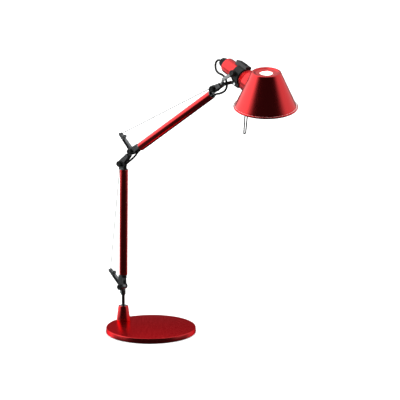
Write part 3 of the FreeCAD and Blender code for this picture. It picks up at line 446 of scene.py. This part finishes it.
# %% [markdown]
# ## Profiles with rounded corners
# A turned part is judged by its small rounds, because they catch the light. A Bevel modifier could add them,
# but it gives every corner one size. Here a profile is a list of corners, each with a round of its own.


# %% Rounded profile
def rounded(corners, steps=6):
    """A profile of straight lines whose corners are arcs.

    Each corner is (radius, height, round). At a corner with a round, both lines are cut back by
    round / tan(half the corner's angle), and an arc with that round as its radius joins the cuts.
    """
    corners = [np.array(c, float) for c in corners]
    out = []
    for k, corner in enumerate(corners):
        here, size = corner[:2], corner[2]
        if size == 0 or k in (0, len(corners) - 1):
            out.append([here])
            continue
        back, ahead = corners[k - 1][:2] - here, corners[k + 1][:2] - here
        back, ahead = back / np.linalg.norm(back), ahead / np.linalg.norm(ahead)
        half_angle = math.acos(np.clip(back @ ahead, -1, 1)) / 2
        middle = (back + ahead) / np.linalg.norm(back + ahead)
        centre = here + middle * size / math.sin(half_angle)
        cut = size / math.tan(half_angle)
        start, end = here + back * cut, here + ahead * cut
        first = math.atan2(*(start - centre)[::-1])
        sweep = (math.atan2(*(end - centre)[::-1]) - first + math.pi) % (2 * math.pi) - math.pi
        angles = first + sweep * np.linspace(0, 1, steps + 1)
        out.append(centre + size * np.stack([np.cos(angles), np.sin(angles)], -1))
    return np.concatenate(out)


print("a rounded corner has", len(rounded([(0, 0, 0), (1, 0, 0.2), (1, 1, 0)])) - 2, "points")

# %% [markdown]
# ## Turned surfaces
# Most of this lamp comes off a lathe: base, hub, tubes, knobs, holder and shade. The Spin tool or a Screw
# modifier could turn a profile too. As a grid of angle by profile point it is one line of numpy, and it can
# still be bent afterwards, as the neck is.


# %% Turned piece
def lathe_points(profile, segments):
    """(radius, height) pairs spun about z: x = r cos a, y = r sin a, z = h, one row for each angle a."""
    angles = np.linspace(0, 2 * math.pi, segments, endpoint=False)[:, None]
    radius, height = profile[None, :, 0], profile[None, :, 1]
    return np.stack([radius * np.cos(angles), radius * np.sin(angles), height + 0 * angles], -1)


def turned(name, profile, matrix, body, material, replaced, segments=128):
    """A turned piece from its profile in millimetres; the ends of an open profile lie on the axis."""
    points = lathe_points(profile * MM, segments)
    closed = np.allclose(profile[0], profile[-1])
    if closed:
        points = points[:, :-1]
    rows, columns = points.shape[:2]
    faces = grid_faces(rows, columns, True, closed)
    return add_piece(name, placed(matrix, points.reshape(-1, 3)), faces, body, material, replaced)


print("lathe ready")

# %% [markdown]
# ## Round bars along a path
# Wires, cables and the handle are one round section carried along a line. A curve with a bevel depth does
# that as well, but it twists where the line turns in space.


# %% Swept bar
def path_frames(path):
    """For each point of a path two normals, carried along without twisting.

    Each normal is the last one with its part along the new tangent taken out.
    """
    tangent = np.gradient(path, axis=0)
    tangent /= np.linalg.norm(tangent, axis=1)[:, None]
    side = np.cross(tangent[0], [0.0, 1.0, 0.0])
    if np.linalg.norm(side) < 0.1:
        side = np.cross(tangent[0], [1.0, 0.0, 0.0])
    sides = []
    for t in tangent:
        side = side - t * (side @ t)
        side = side / np.linalg.norm(side)
        sides.append(side)
    sides = np.array(sides)
    return sides, np.cross(tangent, sides)


def bar(name, path, radius, body, material, replaced, segments):
    """A round bar: each ring is centre + radius (normal cos a + binormal sin a), and both ends are closed."""
    normal, binormal = path_frames(path)
    angles = np.linspace(0, 2 * math.pi, segments, endpoint=False)[None, :, None]
    rings = normal[:, None, :] * np.cos(angles) + binormal[:, None, :] * np.sin(angles)
    points = (path[:, None, :] + radius * rings).reshape(-1, 3)
    faces = grid_faces(len(path), segments, False, True).tolist()
    last = (len(path) - 1) * segments
    faces.append(list(range(segments)))
    faces.append(list(range(last + segments - 1, last - 1, -1)))
    return add_piece(name, points, faces, body, material, replaced)


print("sweep ready")

# %% [markdown]
# ## The base and its hub
# The base is a flat turned disc, hollow below, with a small round on its top edge, and the hub is a short
# cone that guides the stem. Both could be primitive cylinders with a Bevel modifier, but a profile shows
# where each round sits.

# %% Base and hub
BASE_RADIUS = 85.0
BASE_TOP = 9.6
BASE_LIFT = 0.6
COVER_WALL = 2.0
RIM_DRAFT = 0.7
HUB_PLACE = -70.2
HUB_BORE = 5.2
HUB_FOOT = 9.65
HUB_TOP = 38.6
base_profile = rounded([(0, BASE_TOP - COVER_WALL, 0), (BASE_RADIUS - COVER_WALL, BASE_TOP - COVER_WALL, 0.6),
                        (BASE_RADIUS - COVER_WALL, BASE_LIFT, 0.3), (BASE_RADIUS, BASE_LIFT, 0.5),
                        (BASE_RADIUS - RIM_DRAFT, BASE_TOP, 1.1), (0, BASE_TOP, 0)])
turned("base_disc", base_profile, Matrix.Identity(4), "base", red_plate, ["base_cover"],
       segments=256)
hub_profile = rounded([(HUB_BORE, HUB_FOOT, 0), (13.5, HUB_FOOT, 0.3), (9.5, HUB_TOP, 1.0),
                       (HUB_BORE, HUB_TOP, 0.5), (HUB_BORE, HUB_FOOT, 0)])
HUB = Matrix.Translation((HUB_PLACE * MM, 0, 0))
turned("hub_cone", hub_profile, HUB, "base", red_turned, ["base_hub"])

# %% [markdown]
# ## The arm tubes
# Thin anodised tubes with a slightly broken edge at each end. The wall has a real thickness, because the
# cable and the tension wire go in at the open ends.

# %% Arm tubes
TUBE_OUTER = 7.85
TUBE_INNER = 6.65
TUBE_START = 24.5
TUBE_END = 227.5
TUBE_AXIS = -2.7
SEAM = TUBE_START + 5
tube_profile = rounded([(TUBE_INNER, SEAM, 0), (TUBE_INNER, TUBE_START, 0.25), (TUBE_OUTER, TUBE_START, 0.4),
                        (TUBE_OUTER, TUBE_END, 0.4), (TUBE_INNER, TUBE_END, 0.25), (TUBE_INNER, SEAM, 0)])
for name, arm, body, node in (("lower_arm_tube", LOWER, "lower_arm", "lower_tube"),
                              ("upper_arm_tube", UPPER, "upper_arm", "upper_tube")):
    place = arm @ Matrix.Translation((0, 0, TUBE_AXIS * MM)) @ ALONG_X
    turned(name, tube_profile, place, body, red_tube, [node], segments=96)

# %% [markdown]
# ## Black caps on the pivots
# Each pivot pin ends in a small moulded knob with a soft edge and a shallow dimple. The four pairs on the
# arms are one moulding, and the pair on the clamp ring is a little wider and flatter, so one profile with
# two sizes makes all ten.


# %% Caps
def cap_pair(name, matrix, face, thickness, radius, body, node):
    """Two caps on one pin: the profile at +y, and the same turned half a turn about x at -y."""
    profile = rounded([(0, 0.3, 0), (radius - 0.9, 0.3, 0.2), (radius - 0.3, 0, 0.2), (radius, 0.8, 0.3),
                       (radius, thickness, 1.5), (radius * 0.55, thickness, 0.3),
                       (radius * 0.45, thickness - 0.5, 0.4), (0, thickness - 0.5, 0)])
    rows = lathe_points(profile * MM, 48)
    pair = []
    for side in (1, -1):
        place = matrix @ Matrix.Translation((0, side * face * MM, 0)) @ turned_about("X", -90 * side)
        pair.append(placed(place, rows.reshape(-1, 3)))
    faces = grid_faces(*rows.shape[:2], True, False)
    faces = np.concatenate([faces, faces + len(pair[0])])
    add_piece(name, np.concatenate(pair), faces, body, black_moulded, [node])


CAP_FACE = 6.2
CAP_HEIGHT = 4.2
CAP_RADIUS = 5.5
for name, matrix, body, node in (
        ("lower_knobs", LOWER, "lower_arm", "lower_pivot_caps"),
        ("elbow_lock_knobs", Matrix.Translation(PIVOT_B), "lower_arm", "elbow_lock_caps"),
        ("elbow_knobs", UPPER, "upper_arm", "elbow_pivot_caps"),
        ("wrist_knobs", Matrix.Translation(PIVOT_D), "upper_arm", "wrist_pivot_caps")):
    cap_pair(name, matrix, CAP_FACE, CAP_HEIGHT, CAP_RADIUS, body, node)
RING_CAP_FACE = 19.4
RING_CAP_HEIGHT = 4.0
RING_CAP_RADIUS = 5.75
cap_pair("tilt_knobs", RING, RING_CAP_FACE, RING_CAP_HEIGHT, RING_CAP_RADIUS, "ring", "tilt_caps")

# %% [markdown]
# ## Holder and gland
# The lamp holder is a deep-drawn cup with a full round at the back. A rubber gland closes it round the
# cable, with three soft ridges that a loop steps along the profile.

# %% Holder and gland
AXIS = HEAD @ ALONG_X
HOLDER_RADIUS = 14.0
HOLDER_BORE = 12.6
HOLDER_MOUTH = 12.3
HOLDER_BACK = -39.5
HOLDER_FLOOR = -37.0
holder_profile = rounded([(HOLDER_BORE, HOLDER_MOUTH, 0), (HOLDER_BORE, HOLDER_FLOOR, 1.0),
                          (4.6, HOLDER_FLOOR, 0.2), (4.6, HOLDER_BACK, 0.2),
                          (HOLDER_RADIUS, HOLDER_BACK, 4.5), (HOLDER_RADIUS, HOLDER_MOUTH, 0.3),
                          (HOLDER_BORE, HOLDER_MOUTH, 0)])
turned("holder_cup", holder_profile, AXIS, "head", red_turned, ["lamp_holder"])

GLAND_BORE = 2.0
GLAND_FRONT = -34.6
GLAND_BACK = -52.0
gland_profile = [(GLAND_BORE, GLAND_FRONT, 0), (GLAND_BORE, GLAND_BACK, 0.4), (7.5, GLAND_BACK, 1.0)]
for ridge in range(3):
    start = GLAND_BACK + 2.0 + 3.0 * ridge
    radius = 8.0 + 0.85 * ridge
    gland_profile += [(radius, start, 0.3), (radius + 0.5, start + 1.7, 0.3),
                      (radius - 0.35, start + 2.1, 0.2)]
gland_profile += [(10.25, -41.0, 0.3), (10.25, -39.6, 0.3), (4.5, -39.6, 0.1), (4.5, GLAND_FRONT, 0.2),
                  (GLAND_BORE, GLAND_FRONT, 0)]
turned("gland_boot", rounded(gland_profile, 3), AXIS, "head", rubber, ["cable_gland"],
       segments=64)

# %% [markdown]
# ## Neck
# The neck flares out in four fins and ends on the cone of the shade, so its last ring is not a circle: for
# each angle it runs forward until it meets the shade. A boolean cut would give the same line, but it leaves
# long thin faces beside it.

# %% Neck
RIM_RADIUS = 54.3
CONE_TOP_RADIUS = 26.2
CONE_HEIGHT = 61.7
CONE_SLOPE = (RIM_RADIUS - CONE_TOP_RADIUS) / CONE_HEIGHT
NECK_BORE = 12.45
NECK_FLARE = 20.3
NECK_STEPS = 160
NECK_BACK = 12.0
BEYOND_SHADE = 60.0
HALVINGS = 40
neck_outline = rounded([(NECK_BORE, 12.45, 0), (14.5, 12.45, 0.4), (15.2, 14.6, 0.4),
                        (14.3, 15.2, 0.2), (14.5, 16.3, 0.2), (16.6, 16.7, 0.4), (17.3, 17.6, 0.3),
                        (15.6, 18.2, 0.2), (15.8, 19.2, 0.2), (18.3, 19.7, 0.4), (18.9, 20.6, 0.3),
                        (17.0, 21.2, 0.2), (17.2, 22.2, 0.2), (19.8, 22.7, 0.4), (20.1, 23.6, 0.3),
                        (18.6, 24.2, 0.2), (18.8, 25.2, 0.2), (NECK_FLARE, 25.7, 0.4),
                        (NECK_FLARE, 26.2, 0)], 3)


def neck_reach(radius, angle):
    """How far forward a line parallel to the holder's axis runs before it meets the cone of the shade.

    The line starts at (radius cos a, radius sin a) round the axis. On the cone the distance from the shade's
    axis is RIM_RADIUS less CONE_SLOPE times the height, so the gap falls steadily and halving finds its zero.
    """
    to_shade = SHADE.inverted() @ HEAD
    turn, shift = np.array(to_shade.to_3x3()), np.array(to_shade.translation) / MM
    low, high = np.full(angle.shape, NECK_BACK), np.full(angle.shape, BEYOND_SHADE)
    for _ in range(HALVINGS):
        middle = (low + high) / 2
        point = np.stack([middle, radius * np.sin(angle), -radius * np.cos(angle)], -1) @ turn.T + shift
        outside = np.hypot(point[..., 0], point[..., 1]) > RIM_RADIUS - CONE_SLOPE * point[..., 2]
        low, high = np.where(outside, middle, low), np.where(outside, high, middle)
    return low


neck_angles = np.linspace(0, 2 * math.pi, NECK_STEPS, endpoint=False)
outer_end = neck_reach(NECK_FLARE, neck_angles)
inner_end = neck_reach(NECK_BORE, neck_angles)
rings = np.tile(neck_outline, (NECK_STEPS, 1, 1))
rings[..., 1] = np.minimum(rings[..., 1], outer_end[:, None])
outer_mouth = np.stack([np.full(NECK_STEPS, NECK_FLARE), outer_end], -1)
inner_mouth = np.stack([np.full(NECK_STEPS, NECK_BORE), inner_end], -1)
rings = np.concatenate([rings, np.stack([outer_mouth, inner_mouth], 1)], 1)
around_neck = neck_angles[:, None]
neck_points = np.stack([rings[..., 1], rings[..., 0] * np.sin(around_neck),
                        -rings[..., 0] * np.cos(around_neck)], -1) * MM
add_piece("finned_neck", placed(HEAD, neck_points.reshape(-1, 3)), grid_faces(*rings.shape[:2], True, True),
          "head", red_turned, ["shade_neck"])
print("neck ends between", outer_end.min().round(1), outer_end.max().round(1))

# %% [markdown]
# ## The shade
# A spun aluminium cone with a rolled bead at the rim, a soft shoulder and a dished top with a round opening
# that lets a little light and heat out. One profile makes it, outside, bead and inside in one round.

# %% Shade
BEAD_RADIUS = 1.75
OPENING = 11.0
shade_outer = rounded([(OPENING, 60.5, 0), (OPENING, CONE_HEIGHT, 0.4), (18.5, CONE_HEIGHT, 1.0),
                       (22.0, 63.5, 1.2), (25.0, 63.5, 2.2), (53.75, 0.9, 0)])
bead_angles = np.linspace(2.2, -2.75, 17)
bead = np.stack([RIM_RADIUS + BEAD_RADIUS * np.cos(bead_angles), BEAD_RADIUS * np.sin(bead_angles)], -1)
shade_inner = rounded([(52.95, 0.2, 0), (24.0, 61.9, 1.8), (21.6, 61.9, 0.5), (18.4, 60.5, 0.6),
                       (OPENING, 60.5, 0)], 5)
shade_profile = np.concatenate([shade_outer, bead, shade_inner])
shade = turned("shade_cone", shade_profile, SHADE, "head", red_turned, ["shade"],
               segments=256)

# %% [markdown]
# ## White inside
# The inside of the shade is enamelled white to throw the light down. Painting faces by hand would do, but
# the faces inside are easy to tell: they look towards the axis, or down from under the dished top.

# %% White inside
WHITE_FROM = 1.2
WHITE_TO = 59.5
CEILING = 59.0
shade.data.materials.append(white_enamel)
faces = shade.data.polygons
centres = np.empty(len(faces) * 3, np.float32)
normals = np.empty(len(faces) * 3, np.float32)
faces.foreach_get("center", centres)
faces.foreach_get("normal", normals)
turn = np.array(SHADE.to_3x3())
centres = (centres.reshape(-1, 3) - np.array(SHADE.translation)) @ turn / MM
normals = normals.reshape(-1, 3) @ turn
inwards = (centres[:, :2] * normals[:, :2]).sum(1) < -1e-3
height = centres[:, 2]
ceiling = (normals[:, 2] < -0.5) & (height > CEILING)
white = (inwards & (height > WHITE_FROM) & (height < WHITE_TO)) | ceiling
faces.foreach_set("material_index", white.astype(np.int32))
print("white faces", int(white.sum()))

# %% [markdown]
# ## Bulb
# A small opal globe bulb gives the bright spot in the top opening. Its glass is one turned profile: a
# straight skirt, a neck that widens, and a circle from there to the tip.

# %% Bulb
GLOBE_RADIUS = 22.0
GLOBE_CENTRE = 72.0
globe_angles = np.linspace(math.radians(128), 0, 28)
globe = np.stack([GLOBE_RADIUS * np.sin(globe_angles),
                  GLOBE_CENTRE + GLOBE_RADIUS * np.cos(globe_angles)], -1)
bulb_neck = [(0, 41.5), (7.2, 41.5), (9.4, 45.0), (12.4, 50.0), (15.3, 54.5)]
turned("bulb_globe", np.concatenate([bulb_neck, globe]), AXIS, "head", opal, ["bulb_glass"],
       segments=64)

# %% [markdown]
# ## Tension wires
# The tension wires run from a lever's tip, over the grooved guide and down the tube to the spring. They
# follow the same tangent line and arc as the real ones, and are drawn a fifth of a millimetre thicker, so
# that they still show from afar.

# %% Tension wires
GUIDE_X = 238.7
GUIDE_Z = 3.0
GUIDE_RADIUS = 4.0
WIRE_RADIUS = 0.55
WIRE_START = 1.0
WIRE_END = 180.45
RUN_POINTS = 40


def wire_path(arm, tip):
    """The wire's line in the arm's own plane, with its first point and the end of its straight run.

    It is a tangent from the tip to the guide, an arc round the guide, and a straight run into the tube. The
    tangent leans from the line to the guide's centre by the angle whose tangent is radius / reach.
    """
    local = np.array(arm.inverted() @ tip) / MM
    start = local[[0, 2]]
    centre = np.array([GUIDE_X, GUIDE_Z])
    gap = centre - start
    reach = math.sqrt(gap @ gap - GUIDE_RADIUS ** 2)
    lean = math.atan2(gap[1], gap[0]) + math.atan2(GUIDE_RADIUS, reach)
    heading = np.array([math.cos(lean), math.sin(lean)])
    run = start + heading * np.linspace(WIRE_START, reach, RUN_POINTS)[:, None]
    turn = np.linspace(lean + math.pi / 2, -math.pi / 2, 20)[1:-1]
    arc = centre + GUIDE_RADIUS * np.stack([np.cos(turn), np.sin(turn)], -1)
    inner = np.stack([np.linspace(GUIDE_X, WIRE_END, 6), np.full(6, GUIDE_Z - GUIDE_RADIUS)], -1)
    line = np.concatenate([run, arc, inner]) * MM
    path = placed(arm, np.stack([line[:, 0], np.zeros(len(line)), line[:, 1]], -1))
    return path, path[0], path[RUN_POINTS - 1]


LEVER_LENGTH = 41.0
ELBOW_LEVER_X = 37.5
STEM_TIP = arm_frame(PIVOT_A, STEM_LEVER_ANGLE) @ Vector((LEVER_LENGTH * MM, 0, 0))
ELBOW_TIP = ELBOW @ Vector((ELBOW_LEVER_X * MM, 0, LEVER_LENGTH * MM))
for name, arm, tip, lever_body, arm_body, node in (
        ("lower_wire", LOWER, STEM_TIP, "stem", "lower_arm", "lower_tension_wire"),
        ("upper_wire", UPPER, ELBOW_TIP, "elbow", "upper_arm", "upper_tension_wire")):
    path, first, touch = wire_path(arm, tip)
    piece = bar(name, path, WIRE_RADIUS * MM, None, wire_steel, [node], 10)
    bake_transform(piece)

# %% [markdown]
# ## Cables
# The black cable leaves the lower tube, passes the elbow and goes into the upper tube, then loops from there
# between the fork's prongs to the gland. A smooth spline led by a few given points bends like a real
# cable.

# %% Cable helpers
CABLE_RADIUS = 1.9


def local_point(matrix, x, z, y=0):
    """A point given in a frame's own millimetres."""
    return tuple(matrix @ Vector((x * MM, y * MM, z * MM)))


def halves(route, split):
    """The route cut in the middle of one run, where the spline is tangent to it."""
    middle = tuple((a + b) / 2 for a, b in zip(route[split], route[split + 1]))
    return route[:split + 1] + [middle], [middle] + route[split + 1:]


def cable(name, route, node):
    """A cable whose centreline is the NURBS spline with the route as its control points."""
    curve = bpy.data.curves.new(name + "_line", "CURVE")
    curve.dimensions = "3D"
    curve.resolution_u = 12
    spline = curve.splines.new("NURBS")
    spline.points.add(len(route) - 1)
    for point, place in zip(spline.points, route):
        point.co = (*place, 1)
    spline.order_u = 3
    spline.use_endpoint_u = True
    holder = bpy.data.objects.new(name + "_line", curve)
    line = bpy.data.meshes.new_from_object(holder)
    path = np.empty(len(line.vertices) * 3)
    line.vertices.foreach_get("co", path)
    path = path.reshape(-1, 3)
    bpy.data.objects.remove(holder)
    bpy.data.meshes.remove(line)
    length = np.linalg.norm(np.diff(path, axis=0), axis=1).sum()
    piece = bar(name, path, CABLE_RADIUS * MM, None, cable_skin, [node], 20)
    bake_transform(piece)
    print(name, "length", round(length, 4))


print("cable helpers ready")

# %% [markdown]
# ## Routes of the cable
# A route is a list of points that the cable leans towards without touching them. They are given in the frame
# of the casting that they pass, so that the shape of the bend can be read from them.

# %% Cables
CABLE_Z = -7.0
PAST_LINK = ((13.4, -8.4), (26.2, -10.2), (39.4, -10.9))
LOOP = ((8.6, -13.2, -1.5), (21.1, -13.3, -0.6), (28.6, -7.5, 0.4), (33.3, 6.6, -1.1), (30.0, 14.5, -2.5),
        (19.0, 22.5, 0.5), (10.5, 32.0, 9.5), (11.5, 43.0, 13.5), (22.0, 46.5, 13.0))
elbow_route = [local_point(LOWER, 230.5, CABLE_Z), local_point(LOWER, 237.6, CABLE_Z),
               *(local_point(ELBOW, x, z) for x, z in PAST_LINK),
               local_point(UPPER, 14, CABLE_Z), local_point(UPPER, 23, CABLE_Z)]
head_route = [local_point(UPPER, 230.5, CABLE_Z), local_point(UPPER, 237.5, CABLE_Z),
              *(local_point(WRIST, x, z, y) for x, z, y in LOOP), local_point(HEAD, GLAND_BACK, 0)]
elbow_low, elbow_high = halves(elbow_route, 2)
cable("elbow_cable_low", elbow_low, "elbow_cable_lower")
cable("elbow_cable_high", elbow_high, "elbow_cable_upper")
head_low, head_high = halves(head_route, 4)
cable("wrist_cable_low", head_low, "wrist_cable")
cable("wrist_cable_high", head_high, "head_cable")

# %% [markdown]
# ## Handle
# A thin steel wire bent into a narrow loop hangs below the shade, to turn the head without touching hot
# metal. Its two legs come together a little towards the bow.

# %% Handle
HANDLE_RADIUS = 1.1
HANDLE_SIDE = -14.0
TOP = (42.3, -10.0)
TIP = (49.0, -90.6)
TOP_HALF_GAP = 3.6
BOW_RADIUS = 2.1
LEG_SHARE = 0.975
BOW_LEAN = 0.18
lengthwise = np.linspace(0, 1, 30)
left_leg = np.stack([TOP[0] + (TIP[0] - TOP[0]) * lengthwise * LEG_SHARE,
                     HANDLE_SIDE - TOP_HALF_GAP + (TOP_HALF_GAP - BOW_RADIUS) * lengthwise,
                     TOP[1] + (TIP[1] - TOP[1]) * lengthwise * LEG_SHARE], -1)
right_leg = left_leg[::-1] * [1, -1, 1] + [0, 2 * HANDLE_SIDE, 0]
turn = np.linspace(0, math.pi, 17)[1:-1]
bow = np.stack([TIP[0] + (np.sin(turn) - 1) * BOW_LEAN, HANDLE_SIDE - BOW_RADIUS * np.cos(turn),
                TIP[1] + BOW_RADIUS * (1 - np.sin(turn))], -1)
handle_line = np.concatenate([left_leg, bow, right_leg]) * MM
bar("handle_loop", placed(HEAD, handle_line), HANDLE_RADIUS * MM, "head", dark_steel,
    ["handle_wire"], 14)

# %% [markdown]
# ## Finishes on the carried-over castings
# The castings, pins, screws and the switch keep their shape from the model and only get their finish. What
# the table doesn't name is bright steel.

# %% Assign finishes
CAD_FINISH = {
    "base_pad": rubber, "base_weight": iron, "stem_rod": dark_steel, "stem_head": cast_metal,
    "lower_foot": cast_metal, "lower_head": cast_metal, "upper_foot": cast_metal, "upper_head": cast_metal,
    "elbow_link": cast_metal, "wrist_fork": cast_metal, "lower_guide": black_moulded,
    "upper_guide": black_moulded, "tilt_ring": black_moulded, "switch_block": black_gloss,
    "switch_button": black_gloss, "bulb_socket": black_moulded, "bulb_cap": cap_metal, "cable_inlet": rubber,
    "lower_cable_run": cable_skin, "upper_cable_run": cable_skin,
}
for node_name, node in nodes.items():
    node.data.materials.clear()
    node.data.materials.append(CAD_FINISH.get(node_name, steel))
print("castings finished", len(CAD_FINISH))
